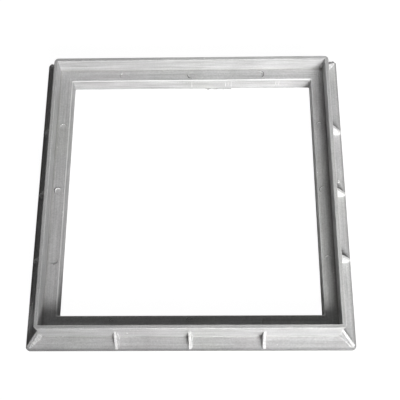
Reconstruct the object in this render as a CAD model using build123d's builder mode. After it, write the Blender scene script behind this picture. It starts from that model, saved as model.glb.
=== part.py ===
from build123d import *
from math import cos, radians, sin, sqrt
import os

# A square cover frame: an upright wall on a base flange, a seat with a hanging skirt inside it,
# triangular gussets outside the wall and stiffening webs under the seat.
# Origin: centre of the frame, on its bedding plane. +X right, +Y back, +Z up. Millimetres.

# Widths, measured across the whole square frame
flange_width = 744.0
rim_width = 680.0
recess_width = 662.0
clear_width = 600.0

# Heights, measured from the bedding plane
frame_height = 88.0
seat_height = 42.0
gusset_height = 58.0
corner_gusset_height = 50.0

# Thicknesses
flange_thickness = 8.0
seat_thickness = 8.0
skirt_thickness = 8.0
gusset_thickness = 6.0
web_thickness = 6.0

# Corner radii in plan, and rounded edges
flange_corner_radius = 9.0
rim_corner_radius = 10.0
clear_corner_radius = 3.0
rim_outer_round = 2.0
rim_inner_round = 1.2
flange_edge_round = 2.0
seat_edge_round = 3.0

# Gussets and webs stand at these places along each side
station_pitch = 165.0
stations = {"a": -station_pitch, "b": 0.0, "c": station_pitch}
gusset_toe_inset = 2.5
corner_toe_inset = 6.0
gusset_toe_height = 9.0

# Round marks left in the seat
mark_pitch = 171.0
mark_radius = 8.5
mark_depth = 1.2

# Each side is drawn as the front one and turned about Z by this angle
sides = {"front": 0.0, "right": 90.0, "back": 180.0, "left": 270.0}
corners = {"front_right": 45.0, "back_right": 135.0, "back_left": 225.0, "front_left": 315.0}

# Worked out from the sizes above
skirt_outer_width = clear_width + 2 * skirt_thickness
skirt_height = seat_height - seat_thickness
mark_line = (recess_width + clear_width) / 4
rim_corner_reach = rim_width / sqrt(2) - rim_corner_radius * (sqrt(2) - 1)
flange_corner_reach = flange_width / sqrt(2) - flange_corner_radius * (sqrt(2) - 1)


def level_plane(turn, height):
    """A horizontal plane turned so that its -Y points out of the chosen side."""
    return Plane(origin=(0, 0, height), x_dir=(cos(radians(turn)), sin(radians(turn)), 0), z_dir=(0, 0, 1))


def upright_plane(turn, station):
    """An upright plane square to the chosen side: X points outward and Y points up."""
    along = Vector(cos(radians(turn)), sin(radians(turn)), 0)
    outward = Vector(sin(radians(turn)), -cos(radians(turn)), 0)
    return Plane(origin=along * station, x_dir=outward, z_dir=-along)


def ring_side(turn, outer_width, outer_radius, inner_width, inner_radius, bottom, top, outer_round, inner_round):
    """One side of a square ring, mitred at both ends, with the edges of its top face rounded."""
    level = level_plane(turn, bottom)
    height = top - bottom
    with BuildPart() as bar:
        with BuildSketch(level):
            if outer_radius > 0:
                RectangleRounded(outer_width, outer_width, outer_radius)
            else:
                Rectangle(outer_width, outer_width)
        extrude(amount=height)
        if outer_round > 0:
            fillet(bar.faces().sort_by(Axis.Z)[-1].edges(), outer_round)
        with BuildSketch(level):
            if inner_radius > 0:
                RectangleRounded(inner_width, inner_width, inner_radius)
            else:
                Rectangle(inner_width, inner_width)
        extrude(amount=height, mode=Mode.SUBTRACT)
        if inner_round > 0:
            fillet(bar.faces().sort_by(Axis.Z)[-1].inner_wires()[0].edges(), inner_round)
        with BuildSketch(level):
            with BuildLine():
                Polyline((0, 0), (-outer_width, -outer_width), (outer_width, -outer_width), close=True)
            make_face()
        extrude(amount=height, mode=Mode.INTERSECT)
    return bar


os.makedirs("parts", exist_ok=True)

for side, turn in sides.items():
    # Upright wall: a flat bar on edge, its top the narrow rim
    wall = ring_side(turn, rim_width, rim_corner_radius, recess_width, 0, 0, frame_height,
                     rim_outer_round, rim_inner_round)
    wall.part.label = f"{side}_wall"
    export_step(wall.part, f"parts/{side}_wall.step")

    # Base flange: a flat bar round the foot of the wall
    flange = ring_side(turn, flange_width, flange_corner_radius, rim_width, rim_corner_radius,
                       0, flange_thickness, flange_edge_round, 0)
    flange.part.label = f"{side}_flange"
    export_step(flange.part, f"parts/{side}_flange.step")

    # Seat: the ledge that the cover rests on, with its three shallow round marks
    ledge = ring_side(turn, recess_width, 0, clear_width, clear_corner_radius,
                      skirt_height, seat_height, 0, seat_edge_round)
    with BuildPart() as seat:
        add(ledge.part)
        with BuildSketch(level_plane(turn, seat_height)):
            with Locations((-mark_pitch, -mark_line), (0, -mark_line), (mark_pitch, -mark_line)):
                Circle(mark_radius)
        extrude(amount=-mark_depth, mode=Mode.SUBTRACT)
    seat.part.label = f"{side}_seat"
    export_step(seat.part, f"parts/{side}_seat.step")

    # Skirt: the upright bar under the seat's inner edge, round the clear opening
    skirt = ring_side(turn, skirt_outer_width, 0, clear_width, clear_corner_radius, 0, skirt_height, 0, 0)
    skirt.part.label = f"{side}_skirt"
    export_step(skirt.part, f"parts/{side}_skirt.step")

    for station, place in stations.items():
        # Gusset: a triangular plate with a blunt toe, between the flange and the outside of the wall
        with BuildPart() as gusset:
            with BuildSketch(upright_plane(turn, place)):
                with BuildLine():
                    Polyline(
                        (rim_width / 2, flange_thickness),
                        (flange_width / 2 - gusset_toe_inset, flange_thickness),
                        (flange_width / 2 - gusset_toe_inset, flange_thickness + gusset_toe_height),
                        (rim_width / 2, gusset_height),
                        close=True,
                    )
                make_face()
            extrude(amount=gusset_thickness / 2, both=True)
        gusset.part.label = f"{side}_gusset_{station}"
        export_step(gusset.part, f"parts/{side}_gusset_{station}.step")

        # Web: a small plate under the seat, in line with the gusset outside
        with BuildPart() as web:
            with BuildSketch(upright_plane(turn, place)):
                with BuildLine():
                    Polyline(
                        (skirt_outer_width / 2, 0),
                        (recess_width / 2, 0),
                        (recess_width / 2, skirt_height),
                        (skirt_outer_width / 2, skirt_height),
                        close=True,
                    )
                make_face()
            extrude(amount=web_thickness / 2, both=True)
        web.part.label = f"{side}_web_{station}"
        export_step(web.part, f"parts/{side}_web_{station}.step")

for corner, turn in corners.items():
    # Corner gusset: the same plate on the diagonal, its inner end fitted to the wall's round corner
    with BuildPart() as brace:
        with BuildSketch(upright_plane(turn, 0)):
            with BuildLine():
                Polyline(
                    (rim_corner_reach - gusset_thickness, flange_thickness),
                    (flange_corner_reach - corner_toe_inset, flange_thickness),
                    (flange_corner_reach - corner_toe_inset, flange_thickness + gusset_toe_height),
                    (rim_corner_reach, corner_gusset_height),
                    (rim_corner_reach - gusset_thickness, corner_gusset_height),
                    close=True,
                )
            make_face()
        extrude(amount=gusset_thickness / 2, both=True)
        with BuildSketch(Plane.XY):
            RectangleRounded(rim_width, rim_width, rim_corner_radius)
        extrude(amount=frame_height, mode=Mode.SUBTRACT)
    brace.part.label = f"{corner}_corner_gusset"
    export_step(brace.part, f"parts/{corner}_corner_gusset.step")
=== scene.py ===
from math import cos, hypot, pi, radians, sin

import bmesh
import bpy
from mathutils import Euler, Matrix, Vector, noise


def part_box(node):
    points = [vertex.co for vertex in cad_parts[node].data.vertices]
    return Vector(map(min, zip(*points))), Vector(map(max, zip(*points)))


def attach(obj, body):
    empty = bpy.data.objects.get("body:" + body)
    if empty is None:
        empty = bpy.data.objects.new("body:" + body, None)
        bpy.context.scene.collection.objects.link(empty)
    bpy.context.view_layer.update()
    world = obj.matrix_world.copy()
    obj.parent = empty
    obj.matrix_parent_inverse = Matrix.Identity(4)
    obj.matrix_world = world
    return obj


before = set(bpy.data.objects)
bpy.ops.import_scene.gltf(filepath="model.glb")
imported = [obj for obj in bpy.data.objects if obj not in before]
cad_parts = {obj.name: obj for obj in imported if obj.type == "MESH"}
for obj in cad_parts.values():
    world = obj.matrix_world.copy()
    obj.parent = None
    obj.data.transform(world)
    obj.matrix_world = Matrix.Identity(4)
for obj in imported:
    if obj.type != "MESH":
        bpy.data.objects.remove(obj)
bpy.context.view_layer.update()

MM = 0.001

# ---------------------------------------------------------------- sizes in metres, read from the frame
SIDES = ("front", "right", "back", "left")
STATIONS = ("a", "b", "c")
CORNERS = ("front_right", "back_right", "back_left", "front_left")
TURN = {side: radians(90 * i) for i, side in enumerate(SIDES)}
CORNER_TURN = {corner: radians(45 + 90 * i) for i, corner in enumerate(CORNERS)}

SKIRT_THICKNESS = 8 * MM
WIDTH = 2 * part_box("right_flange")[1][0]
RIM_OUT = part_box("right_wall")[1][0]
RIM_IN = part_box("right_seat")[1][0]
CLEAR = -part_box("front_web_b")[1][1] - SKIRT_THICKNESS
RIM_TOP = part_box("right_wall")[1][2]
SEAT_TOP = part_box("right_seat")[1][2]
FLANGE_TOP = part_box("right_flange")[1][2]
GUSSET_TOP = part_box("front_gusset_b")[1][2]
GUSSET_TOE = -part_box("front_gusset_b")[0][1]
GUSSET_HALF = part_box("front_gusset_b")[1][0]
GUSSET_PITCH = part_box("front_gusset_c")[0][0] + GUSSET_HALF

# Sizes that no node's box gives
RIM_CORNER = 10 * MM
MARK_PITCH = 171 * MM
MARK_RADIUS = 8.5 * MM
MARK_LINE = (RIM_IN + CLEAR) / 2
DIAGONAL = 2 ** 0.5
CORNER_WALL = RIM_OUT * DIAGONAL - RIM_CORNER * (DIAGONAL - 1)


# ---------------------------------------------------------------- small node helpers
def node(tree, kind, **settings):
    made = tree.nodes.new(kind)
    for name, value in settings.items():
        setattr(made, name, value)
    return made


def feed(tree, socket, value):
    """Links value to socket if it is another node's output, or else sets it."""
    if isinstance(value, bpy.types.NodeSocket):
        tree.links.new(value, socket)
    else:
        socket.default_value = value


def calc(tree, operation, a, b=0.0, c=0.0):
    made = node(tree, "ShaderNodeMath", operation=operation)
    for socket, value in zip(made.inputs, (a, b, c)):
        feed(tree, socket, value)
    return made.outputs[0]


def fade(tree, value, low, high):
    """1 where value is at or under low, 0 where it is at or over high."""
    made = node(tree, "ShaderNodeMapRange", interpolation_type="SMOOTHSTEP")
    feed(tree, made.inputs["Value"], value)
    made.inputs["From Min"].default_value = low
    made.inputs["From Max"].default_value = high
    made.inputs["To Min"].default_value = 1.0
    made.inputs["To Max"].default_value = 0.0
    return made.outputs[0]


def cloud(tree, place, scale, detail, roughness=0.5):
    """Cloudy noise about 0.5. A scale of 100 has lumps about 10 mm wide."""
    made = node(tree, "ShaderNodeTexNoise")
    tree.links.new(place, made.inputs["Vector"])
    made.inputs["Scale"].default_value = scale
    made.inputs["Detail"].default_value = detail
    made.inputs["Roughness"].default_value = roughness
    return made.outputs[0]


def stretched(tree, place, scales):
    made = node(tree, "ShaderNodeMapping")
    tree.links.new(place, made.inputs["Vector"])
    made.inputs["Scale"].default_value = scales
    return made.outputs[0]


def split(tree, vector):
    """The X, Y and Z of a vector."""
    made = node(tree, "ShaderNodeSeparateXYZ")
    tree.links.new(vector, made.inputs[0])
    return made.outputs


def ramp(tree, factor, stops):
    """A colour ramp of (position, grey or colour) stops."""
    made = node(tree, "ShaderNodeValToRGB")
    elements = made.color_ramp.elements
    while len(elements) < len(stops):
        elements.new(0.5)
    for element, (place, colour) in zip(elements, stops):
        element.position = place
        element.color = (*colour, 1.0) if isinstance(colour, tuple) else (colour, colour, colour, 1.0)
    tree.links.new(factor, made.inputs[0])
    return made.outputs[0]


def blend_colours(tree, kind, factor, a, b):
    made = node(tree, "ShaderNodeMix", data_type="RGBA", blend_type=kind)
    feed(tree, made.inputs[0], factor)
    feed(tree, made.inputs["A"], a)
    feed(tree, made.inputs["B"], b)
    return made.outputs["Result"]


# ---------------------------------------------------------------- material
# Lines that run round the whole frame, each as its distance out from the centre and its height
SEAT_ROUND = 0.9 * MM       # from the arris of the seat to the middle of its rounded edge, each way
WORN_EDGES = ((RIM_IN, RIM_TOP), (RIM_OUT, RIM_TOP), (CLEAR, 0.0))
# The middle of the seat's rounded lip, where a painted highlight goes
LIP = ((CLEAR + SEAT_ROUND, SEAT_TOP - SEAT_ROUND),)
# The creases at the foot of the inner wall and of the outer wall get painted shade
SHADED_CREASES = ((RIM_IN, SEAT_TOP), (RIM_OUT, FLANGE_TOP))
# The foot of the flange's outer edge is painted darker
DARKER_FOOT_LINE = ((WIDTH / 2, 0.0),)

# What each noise does to the compound, as (noise, grey or colour) stops
BASE_GREY = ((0.28, 0.420), (0.5, 0.490), (0.74, 0.575))
FINE_STREAKS = ((0.28, 0.68), (0.5, 1.0), (0.72, 1.27))
SPECKLE = ((0.30, 0.84), (0.5, 1.0), (0.72, 1.14))
PATCHES = ((0.3, 0.94), (0.5, 1.0), (0.7, 1.04))
TINT = ((0.36, (1.008, 0.996, 1.0)), (0.5, (1.0, 1.0, 1.0)), (0.62, (1.0, 1.003, 0.985)))
ROUGHNESS = ((0.3, 0.60), (0.7, 0.46))

PLAIN = (1.0, 1.0, 1.0, 1.0)
RUBBED_PALE = (0.80, 0.80, 0.79, 1.0)
# Painted highlight along the seat's rounded lip
LIP_HIGHLIGHT = (0.90, 0.90, 0.89, 1.0)
CHIP_PALE = (0.85, 0.85, 0.84, 1.0)
# Painted shade in the creases
CREASE_SHADE = (0.72, 0.71, 0.69, 1.0)
# Darkens the foot of the flange's outer edge
FOOT_DARKENING = (0.34, 0.34, 0.34, 1.0)

# Noise scales per metre, of the streaks in the compound
ALONG = 3.0
ACROSS = 190.0
LONGWAYS = 20.0             # a scale under this runs along the streaks
SHORTER = 4.0               # the short streaks' scale against the long ones', along them
FINER = 2.2                 # and across them
PLATE_STREAKS = (260.0, 260.0, 12.0)
DARK_COPY_STREAKS = (120.0, 120.0, 120.0)

FINE_LOST_ON_LEVEL = 0.65   # how much of the fine streaks a level face loses
WEAR_GAPS = 0.6             # how far the mottling takes the wear off an edge
BUMP_STRENGTH = 0.45
BUMP_HEIGHT = 0.5 * MM


def ring_distance(tree, reach, height, line):
    """How far a point is from a line that runs round the frame."""
    across = calc(tree, "SUBTRACT", reach, line[0])
    up = calc(tree, "SUBTRACT", height, line[1])
    squares = calc(tree, "ADD", calc(tree, "MULTIPLY", across, across), calc(tree, "MULTIPLY", up, up))
    return calc(tree, "SQRT", squares)


def beside(tree, reach, height, lines, near, far):
    """1 up to near from the closest of the lines, falling to 0 at far."""
    found = ring_distance(tree, reach, height, lines[0])
    for line in lines[1:]:
        found = calc(tree, "MINIMUM", found, ring_distance(tree, reach, height, line))
    return fade(tree, found, near, far)


def compound_grain(tree, place, long_streak, short_streak, grain, lift):
    """The grey of the clean compound: streaked, speckled and mottled."""
    mottle = cloud(tree, place, scale=24.0, detail=4.0)
    drift = cloud(tree, place, scale=5.0, detail=2.0)
    level = calc(tree, "ABSOLUTE", split(tree, node(tree, "ShaderNodeNewGeometry").outputs["Normal"])[2])
    fine = ramp(tree, short_streak, FINE_STREAKS)
    fine = blend_colours(tree, "MIX", calc(tree, "MULTIPLY", level, FINE_LOST_ON_LEVEL), fine, PLAIN)
    speckle = ramp(tree, grain, SPECKLE)
    patch = ramp(tree, mottle, PATCHES)
    tint = ramp(tree, drift, TINT)
    colour = ramp(tree, long_streak, [(stop, grey * lift) for stop, grey in BASE_GREY])
    for layer in (fine, speckle, patch, tint):
        colour = blend_colours(tree, "MULTIPLY", 1.0, colour, layer)
    return colour


def wear_and_painted_light(tree, place, colour):
    """Edges worn pale, broken up by a mottling; a painted highlight along the seat's rounded lip; painted
    shade in the creases; the foot of the flange's outer edge darkened; and tiny pale chips.
    """
    x, y, height = split(tree, place)
    reach = calc(tree, "MAXIMUM", calc(tree, "ABSOLUTE", x), calc(tree, "ABSOLUTE", y))
    broken = fade(tree, cloud(tree, place, scale=60.0, detail=3.0), 0.42, 0.58)
    kept = calc(tree, "MULTIPLY_ADD", broken, -WEAR_GAPS, 1.0)
    paler = beside(tree, reach, height, WORN_EDGES, 0.6 * MM, 2.4 * MM)
    worn = calc(tree, "MULTIPLY", paler, kept)
    # Painted highlight along the seat's rounded lip
    lip_highlight = beside(tree, reach, height, LIP, 0.7 * MM, 1.7 * MM)
    # Painted shade in the creases
    crease_shading = beside(tree, reach, height, SHADED_CREASES, 0.5 * MM, 5.0 * MM)
    # Darkens the foot of the flange's outer edge
    darker_foot = beside(tree, reach, height, DARKER_FOOT_LINE, 6.0 * MM, 10.5 * MM)
    chips = fade(tree, cloud(tree, place, scale=210.0, detail=2.0), 0.245, 0.265)
    for kind, mask, strength, shade in (
        ("MIX", worn, 0.45, RUBBED_PALE),
        ("MIX", lip_highlight, 0.55, LIP_HIGHLIGHT),
        ("MULTIPLY", crease_shading, 0.8, CREASE_SHADE),
        ("MULTIPLY", darker_foot, 1.0, FOOT_DARKENING),
        ("MIX", chips, 0.75, CHIP_PALE),
    ):
        colour = blend_colours(tree, kind, calc(tree, "MULTIPLY", mask, strength), colour, shade)
    return colour


def grey_compound(name, streaks, lift=1.0):
    """Satin light-grey moulding compound. streaks holds the noise scale along X, Y and Z, and lift
    is how much lighter than the bars it is; a lift other than 1 paints light or shade into a copy of it."""
    material = bpy.data.materials.new(name)
    material.use_nodes = True
    tree = material.node_tree
    shader = tree.nodes["Principled BSDF"]
    place = node(tree, "ShaderNodeTexCoord").outputs["Object"]

    # Flow lines left by the compound as it filled the mould, and fine grain
    short_streaks = [scale * (SHORTER if scale < LONGWAYS else FINER) for scale in streaks]
    long_streak = cloud(tree, stretched(tree, place, streaks), scale=1.0, detail=4.0, roughness=0.6)
    short_streak = cloud(tree, stretched(tree, place, short_streaks), scale=1.0, detail=3.0)
    grain = cloud(tree, place, scale=320.0, detail=3.0, roughness=0.65)

    clean = compound_grain(tree, place, long_streak, short_streak, grain, lift)
    tree.links.new(wear_and_painted_light(tree, place, clean), shader.inputs["Base Color"])
    tree.links.new(ramp(tree, long_streak, ROUGHNESS), shader.inputs["Roughness"])

    relief = calc(tree, "MULTIPLY_ADD", short_streak, 0.8, grain)
    relief = calc(tree, "MULTIPLY_ADD", long_streak, 1.6, relief)
    bump = node(tree, "ShaderNodeBump")
    bump.inputs["Strength"].default_value = BUMP_STRENGTH
    bump.inputs["Distance"].default_value = BUMP_HEIGHT
    tree.links.new(relief, bump.inputs["Height"])
    tree.links.new(bump.outputs[0], shader.inputs["Normal"])
    return material


# The plate copies are painted lighter than the bars, as painted light on the gussets, webs and witness ribs;
# the second of them is less light, as painted shade on the gussets at the left and back right
COMPOUND = {
    "x": grey_compound("compound_along_x", (ALONG, ACROSS, ACROSS)),
    "y": grey_compound("compound_along_y", (ACROSS, ALONG, ACROSS)),
    "plate": grey_compound("compound_lit_plate", PLATE_STREAKS, lift=1.35),
    "shaded_plate": grey_compound("compound_shaded_plate", PLATE_STREAKS, lift=1.19),
    # The paler copy paints highlights on the flecks and on the inner side of the mark burrs; the darker copy
    # paints shade on the burrs' outer side and on the flash under the back skirt
    "paler": grey_compound("compound_painted_highlight", PLATE_STREAKS, lift=1.75),
    "torn": grey_compound("compound_painted_shade", DARK_COPY_STREAKS, lift=0.30),
}


def compound_for(name):
    """The bars are streaked along their length; gussets and webs are short plates, painted lighter than the
    bars as painted light, and some of them less so, as painted shade.
    """
    if "gusset" in name or "web" in name:
        return COMPOUND["shaded_plate" if "left" in name or "back_right" in name else "plate"]
    return COMPOUND["x" if name.startswith(("front", "back")) else "y"]


def soften(piece, width):
    """Breaks the sharp arrises, as a moulding has no knife edges."""
    bevel = piece.modifiers.new("broken_arris", "BEVEL")
    bevel.width = width
    bevel.segments = 2
    bevel.limit_method = "ANGLE"
    bevel.angle_limit = radians(40)
    bevel.harden_normals = False


GUSSET_ARRIS = 0.8 * MM
for name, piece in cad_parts.items():
    piece.data.materials.clear()
    piece.data.materials.append(compound_for(name))
    if "gusset" in name:
        soften(piece, GUSSET_ARRIS)


# ---------------------------------------------------------------- mesh helpers
WELD = 0.001 * MM
SHARP_ANGLE = radians(35)


def at(turn, along, out, height):
    """A point from its place along a side, its distance out from the centre and its height."""
    return Vector((along * cos(turn) + out * sin(turn), along * sin(turn) - out * cos(turn), height))


def add_piece(name, mesh_builder, material, smooth=True):
    """Adds a finished mesh as a piece that rides the frame."""
    bmesh.ops.remove_doubles(mesh_builder, verts=mesh_builder.verts, dist=WELD)
    bmesh.ops.recalc_face_normals(mesh_builder, faces=mesh_builder.faces)
    mesh = bpy.data.meshes.new(name)
    mesh_builder.to_mesh(mesh)
    mesh_builder.free()
    mesh.materials.append(material)
    piece = bpy.data.objects.new(name, mesh)
    bpy.context.collection.objects.link(piece)
    if smooth:
        mesh.shade_smooth()
        mesh.set_sharp_from_angle(angle=SHARP_ANGLE)
    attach(piece, "root")
    return piece


def loft(builder, rings, closed=False):
    """Skins a row of equal rings of points, with caps at the ends unless it closes on itself."""
    rows = [[builder.verts.new(point) for point in ring] for ring in rings]
    pairs = list(zip(rows, rows[1:]))
    if closed:
        pairs.append((rows[-1], rows[0]))
    for low, high in pairs:
        for i in range(len(low)):
            j = (i + 1) % len(low)
            builder.faces.new((low[i], low[j], high[j], high[i]))
    if not closed:
        builder.faces.new(rows[0][::-1])
        builder.faces.new(rows[-1])


def cove(radius, steps=5, bury=0.4 * MM):
    """The section of a concave fillet in the corner of two faces, as (away, up) points."""
    angles = [pi / 2 * i / steps for i in range(steps + 1)]
    arc = [(radius * (1 - cos(angle)), radius * (1 - sin(angle))) for angle in angles]
    return [(-bury, -bury), (radius, -bury)] + arc[::-1] + [(-bury, radius)]


# ---------------------------------------------------------------- moulded fillets
FOOT_FILLET = 3.0 * MM
SEAT_FILLET = 1.6 * MM
PLATE_FILLET = 1.8 * MM

# A gusset's fillets start to shrink this far from its toe or top, and stop this far from it
TOE_RUN_OUT = (6.0 * MM, 1.5 * MM)
TOP_RUN_OUT = (10.0 * MM, 2.0 * MM)
LAST_SIZE = 0.3
CORNER_BURY = 0.4 * MM


def foot_fillet(side):
    """Between the outside of the wall and the flange, round both half corners."""
    turn = TURN[side]
    centre = RIM_OUT - RIM_CORNER
    steps = 6
    angles = [pi / 4 * i / steps for i in range(steps + 1)]
    path = [(-1, angle) for angle in angles[::-1]] + [(1, angle) for angle in angles]
    rings = []
    for hand, angle in path:
        ring = []
        for away, up in cove(FOOT_FILLET):
            radius = RIM_CORNER + away
            along = hand * (centre + radius * sin(angle))
            ring.append(at(turn, along, centre + radius * cos(angle), FLANGE_TOP + up))
        rings.append(ring)
    builder = bmesh.new()
    loft(builder, rings)
    add_piece(f"{side}_foot_fillet", builder, compound_for(side))


def seat_fillet(side):
    """Between the seat and the inside of the wall, mitred at the corners."""
    turn = TURN[side]
    rings = []
    for hand in (-1, 1):
        ring = []
        for away, up in cove(SEAT_FILLET):
            out = RIM_IN - away
            ring.append(at(turn, hand * out, out, SEAT_TOP + up))
        rings.append(ring)
    builder = bmesh.new()
    loft(builder, rings)
    add_piece(f"{side}_seat_fillet", builder, compound_for(side))


def plate_fillets(name, plate, turn, place, wall, toe, top):
    """Four fillets at a gusset: each face against the flange, and each face against the wall."""
    along_flange = ((wall, 1.0), (toe - TOE_RUN_OUT[0], 1.0), (toe - TOE_RUN_OUT[1], LAST_SIZE))
    up_wall = ((FLANGE_TOP, 1.0), (top - TOP_RUN_OUT[0], 1.0), (top - TOP_RUN_OUT[1], LAST_SIZE))
    section = cove(PLATE_FILLET)
    builder = bmesh.new()
    for hand in (-1, 1):
        face = place + hand * GUSSET_HALF
        loft(builder, [[at(turn, face + hand * away * size, out, FLANGE_TOP + up * size)
                        for away, up in section] for out, size in along_flange])
        loft(builder, [[at(turn, face + hand * away * size, wall + up * size, height)
                        for away, up in section] for height, size in up_wall])
    add_piece(name, builder, compound_for(plate))


for side in SIDES:
    foot_fillet(side)
    seat_fillet(side)
    for station, place in zip(STATIONS, (-GUSSET_PITCH, 0.0, GUSSET_PITCH)):
        plate = f"{side}_gusset_{station}"
        plate_fillets(f"{plate}_fillets", plate, TURN[side], place, RIM_OUT, GUSSET_TOE, GUSSET_TOP)

for corner in CORNERS:
    plate = f"{corner}_corner_gusset"
    low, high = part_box(plate)
    toe = hypot(max(abs(high[0]), abs(low[0])), max(abs(high[1]), abs(low[1]))) - GUSSET_HALF
    plate_fillets(f"{corner}_gusset_fillets", plate, CORNER_TURN[corner], 0.0,
                  CORNER_WALL - CORNER_BURY, toe, high[2])


# ---------------------------------------------------------------- round marks on the seat
# For each mark along a side: the compass angle of the burr's crest, from +X, and how strong the burr is
BURRS = {
    "front": ((140, 0.4), (110, 0.5), (165, 0.3)),
    "right": ((95, 0.6), (140, 0.8), (120, 0.6)),
    "back": ((15, 1.2), (215, 0.7), (165, 0.5)),
    "left": ((95, 0.6), (128, 1.6), (-50, 0.4)),
}
BURR_HEIGHT = 1.8 * MM
BURR_WIDTH = 3.0 * MM
BURR_FOOT = 0.4 * MM        # the width of the thin rim where there is no burr
BURR_RIM = 0.1 * MM         # and its height
BURR_BURY = 0.6 * MM
BURR_INSET = 0.1 * MM       # how far the rim stands in over the mark's wall
BURR_TOP = ((1.0, 0.05), (0.45, 0.75), (0.25, 1.0), (0.1, 0.95))    # as parts of its width and height
BURR_HIGHLIGHT_SHARE = 0.22            # the part of its width that gets the painted highlight, the rest getting painted shade
BURR_LEAST = 0.2            # a weaker burr gets neither painted highlight nor painted shade, and is as grey as the seat


def crescent(strength, cosine):
    """How strong a burr is in the direction whose angle from its crest has this cosine."""
    return strength * max(0.0, cosine) ** 1.5


def mark_rim(side, index, place):
    """The crescent burr on one side of a mark: its inner side in a paler copy as a painted highlight, its
    outer side in a darker copy as painted shade.
    """
    turn = TURN[side]
    facing, strength = BURRS[side][index]
    facing = radians(facing) - turn
    steps = 48
    rings = []
    for i in range(steps):
        angle = 2 * pi * i / steps
        swell = crescent(strength, cos(angle - facing))
        width = BURR_FOOT + BURR_WIDTH * swell
        rise = BURR_RIM + BURR_HEIGHT * swell
        section = [(0.0, -BURR_BURY), (width, -BURR_BURY)] + [(a * width, u * rise) for a, u in BURR_TOP]
        ring = []
        for away, up in section:
            radius = MARK_RADIUS - BURR_INSET + away
            ring.append(at(turn, place + radius * cos(angle), MARK_LINE - radius * sin(angle), SEAT_TOP + up))
        rings.append(ring)
    builder = bmesh.new()
    loft(builder, rings, closed=True)
    rim = add_piece(f"{side}_mark_rim_{STATIONS[index]}", builder, compound_for(side))
    # The paler copy is a painted highlight on the burr's inner side, the darker copy painted shade on its
    # outer side
    rim.data.materials.append(COMPOUND["torn"])
    rim.data.materials.append(COMPOUND["paler"])
    torn, paler = 1, 2
    centre = at(turn, place, MARK_LINE, SEAT_TOP)
    crest = Vector((cos(facing + turn), sin(facing + turn)))
    for face in rim.data.polygons:
        away = (face.center - centre).xy
        swell = crescent(strength, away.normalized().dot(crest))
        if swell > BURR_LEAST:
            outside = away.length > MARK_RADIUS + BURR_HIGHLIGHT_SHARE * (BURR_FOOT + BURR_WIDTH * swell)
            face.material_index = torn if outside else paler


for side in SIDES:
    for index, place in enumerate((-MARK_PITCH, 0.0, MARK_PITCH)):
        mark_rim(side, index, place)


# ---------------------------------------------------------------- flash, flecks and mould lines
def ragged_flash(name, side, start, end, widest, seed):
    """A thin torn web of compound along the lower edge of a skirt, from start to end along it."""
    turn = TURN[side]
    step, taper_steps = 0.8 * MM, 6
    root, thick, narrowest, waviness = 0.4 * MM, 0.5 * MM, 0.15 * MM, 0.25 * MM
    root_low, root_high, edge_low = 0.1 * MM, 0.3 * MM, 0.2 * MM
    count = int((end - start) / step)
    rings = []
    for i in range(count + 1):
        along = start + step * i
        taper = min(1.0, i / taper_steps, (count - i) / taper_steps)
        torn = 0.55 + 0.9 * noise.noise(Vector((along * 230, seed, 0)))
        torn += 0.5 * noise.noise(Vector((along * 900, seed, 7)))
        width = max(narrowest, widest * taper * torn)
        lift = max(0.0, waviness * noise.noise(Vector((along * 120, seed, 3))))
        ring = [(root, root_low), (-width, edge_low + lift), (-width, edge_low + thick * 0.5 + lift),
                (root, thick + root_high)]
        rings.append([at(turn, along, CLEAR + out, height) for out, height in ring])
    builder = bmesh.new()
    loft(builder, rings)
    # The flash is in the darker copy of the compound, painted shade along the foot of the skirt
    add_piece(name, builder, COMPOUND["torn"], smooth=False)


def fleck(name, side, along, out, height, size, seed):
    """A small irregular fleck of compound stuck to a face. size is half of it along, out and up."""
    unevenness, lumps = 0.45, 1.7
    builder = bmesh.new()
    bmesh.ops.create_icosphere(builder, subdivisions=3, radius=1.0)
    for vert in builder.verts:
        swell = 1 + unevenness * noise.noise(vert.co * lumps + Vector((seed, 0, 0)))
        local = Vector((vert.co.x * size[0], vert.co.y * size[1], vert.co.z * size[2])) * swell
        vert.co = at(TURN[side], along + local.x, out + local.y, height + local.z)
    # The fleck is in the paler copy of the compound, a painted highlight
    add_piece(name, builder, COMPOUND["paler"])


def witness_rib(name, side, along):
    """A faint upright line left on a skirt by a joint in the mould."""
    low, high, run_out = 10 * MM, 36 * MM, 2 * MM
    half, proud, bury, taper, last_size = 1.0 * MM, 0.9 * MM, 0.2 * MM, 0.6, 0.5
    section = ((-half, bury), (half, bury), (half * taper, -proud), (-half * taper, -proud))
    levels = ((low, last_size), (low + run_out, 1.0), (high - run_out, 1.0), (high, last_size))
    builder = bmesh.new()
    loft(builder, [[at(TURN[side], along + a * size, CLEAR + o, height) for a, o in section]
                   for height, size in levels])
    # In the lighter plate copy of the compound, as painted light
    add_piece(name, builder, COMPOUND["plate"])


# Places along the back skirt, which run towards -X
RIB_PLACES = (0, -86, -92.5, -100, -213, -221)
ragged_flash("back_skirt_flash_a", "back", -104 * MM, -33 * MM, widest=3.4 * MM, seed=3)
ragged_flash("back_skirt_flash_b", "back", -262 * MM, -238 * MM, widest=0.9 * MM, seed=8)
for i, along in enumerate(RIB_PLACES):
    witness_rib(f"back_witness_rib_{i + 1}", "back", along * MM)

fleck("front_burr", "front", -139 * MM, RIM_OUT, 44 * MM,
      size=(2.2 * MM, 0.8 * MM, 1.4 * MM), seed=1)
fleck("right_burr_a", "right", 36 * MM, RIM_OUT + 17.5 * MM, FLANGE_TOP,
      size=(4.2 * MM, 2.2 * MM, 2.0 * MM), seed=2)
fleck("right_burr_b", "right", -265 * MM, RIM_OUT - 0.6 * MM, RIM_TOP - 1.6 * MM,
      size=(2.6 * MM, 0.9 * MM, 0.9 * MM), seed=5)


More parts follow.
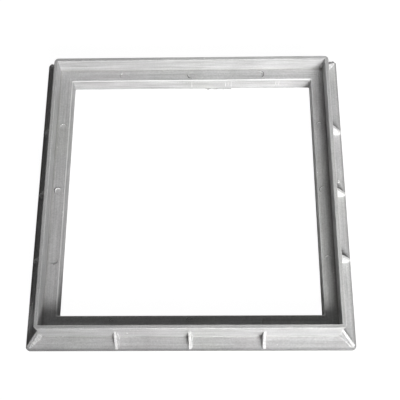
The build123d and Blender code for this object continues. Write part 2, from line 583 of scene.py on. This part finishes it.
# ---------------------------------------------------------------- stage
FLOOR_ALBEDO = 0.60
FLOOR_ROUGHNESS = 0.9
FLOOR_GLOW = 0.98
FLOOR_TRACE = 0.12          # the share of the light on the floor, and so of the shadow, that shows
FLOOR_REACH = 30.0
FLOOR_HEIGHT = -0.5 * MM


def camera_sees(tree, other, seen):
    """A shader that is one thing to the camera and another to the light that reaches the frame."""
    mix = node(tree, "ShaderNodeMixShader")
    tree.links.new(node(tree, "ShaderNodeLightPath").outputs["Is Camera Ray"], mix.inputs[0])
    tree.links.new(other, mix.inputs[1])
    tree.links.new(seen, mix.inputs[2])
    return mix.outputs[0]


def make_floor():
    """A pale floor, far wider than any view of the frame, that shows only a trace of shadow."""
    mesh = bpy.data.meshes.new("floor")
    quarters = ((-1, -1), (1, -1), (1, 1), (-1, 1))
    mesh.from_pydata([(x * FLOOR_REACH, y * FLOOR_REACH, FLOOR_HEIGHT) for x, y in quarters],
                     [], [(0, 1, 2, 3)])
    floor = bpy.data.objects.new("floor", mesh)
    bpy.context.collection.objects.link(floor)
    pale = bpy.data.materials.new("pale_floor")
    pale.use_nodes = True
    tree = pale.node_tree
    matte = tree.nodes["Principled BSDF"]
    matte.inputs["Base Color"].default_value = (FLOOR_ALBEDO, FLOOR_ALBEDO, FLOOR_ALBEDO, 1)
    matte.inputs["Roughness"].default_value = FLOOR_ROUGHNESS
    trace = node(tree, "ShaderNodeBsdfDiffuse")
    trace.inputs["Color"].default_value = (FLOOR_TRACE, FLOOR_TRACE, FLOOR_TRACE, 1)
    glow = node(tree, "ShaderNodeEmission")
    glow.inputs["Strength"].default_value = FLOOR_GLOW
    seen = node(tree, "ShaderNodeAddShader")
    tree.links.new(trace.outputs[0], seen.inputs[0])
    tree.links.new(glow.outputs[0], seen.inputs[1])
    surface = camera_sees(tree, matte.outputs[0], seen.outputs[0])
    tree.links.new(surface, tree.nodes["Material Output"].inputs["Surface"])
    mesh.materials.append(pale)


make_floor()

# ---------------------------------------------------------------- camera
LENS = 69.17                                # mm
CAMERA_PLACE = (0.0776, -0.9192, 2.3338)    # in widths of the frame
CAMERA_TURN = (0.3716, 0.0207, 0.0012)      # radians about X, Y and Z

camera_data = bpy.data.cameras.new("camera")
camera_data.lens = LENS
camera = bpy.data.objects.new("camera", camera_data)
camera.location = Vector(CAMERA_PLACE) * WIDTH
camera.rotation_euler = Euler(CAMERA_TURN)
bpy.context.collection.objects.link(camera)
bpy.context.scene.camera = camera


# ---------------------------------------------------------------- light
AMBIENT = 0.093
WHITE = (1, 1, 1, 1)


def soft_light(name, place, aim, size, power, spread):
    """A round softbox at place, pointing at aim."""
    data = bpy.data.lights.new(name, "AREA")
    data.shape = "DISK"
    data.size = size
    data.energy = power
    data.spread = radians(spread)
    lamp = bpy.data.objects.new(name, data)
    lamp.location = place
    lamp.rotation_euler = (Vector(aim) - Vector(place)).to_track_quat("-Z", "Y").to_euler()
    bpy.context.collection.objects.link(lamp)


def make_world():
    """White behind everything, and a low even fill on the frame."""
    world = bpy.data.worlds.new("studio")
    bpy.context.scene.world = world
    world.use_nodes = True
    tree = world.node_tree
    fill = tree.nodes["Background"]
    fill.inputs["Color"].default_value = WHITE
    fill.inputs["Strength"].default_value = AMBIENT
    white = node(tree, "ShaderNodeBackground")
    white.inputs["Color"].default_value = WHITE
    surface = camera_sees(tree, fill.outputs[0], white.outputs[0])
    tree.links.new(surface, tree.nodes["World Output"].inputs["Surface"])


# The key comes from the front right. The fills are low, one in front and one behind
soft_light("key", (1.08, -2.30, 1.80), aim=(0.25, 0.55, 0.0), size=1.48, power=14.9, spread=49)
soft_light("front_fill", (0.10, -2.60, 0.36), aim=(0.0, -0.37, 0.05), size=0.9, power=0.6, spread=50)
soft_light("back_fill", (0.15, 2.60, 0.36), aim=(0.05, 0.37, 0.05), size=0.9, power=1.1, spread=50)
make_world()
bpy.context.scene.view_settings.view_transform = "Standard"
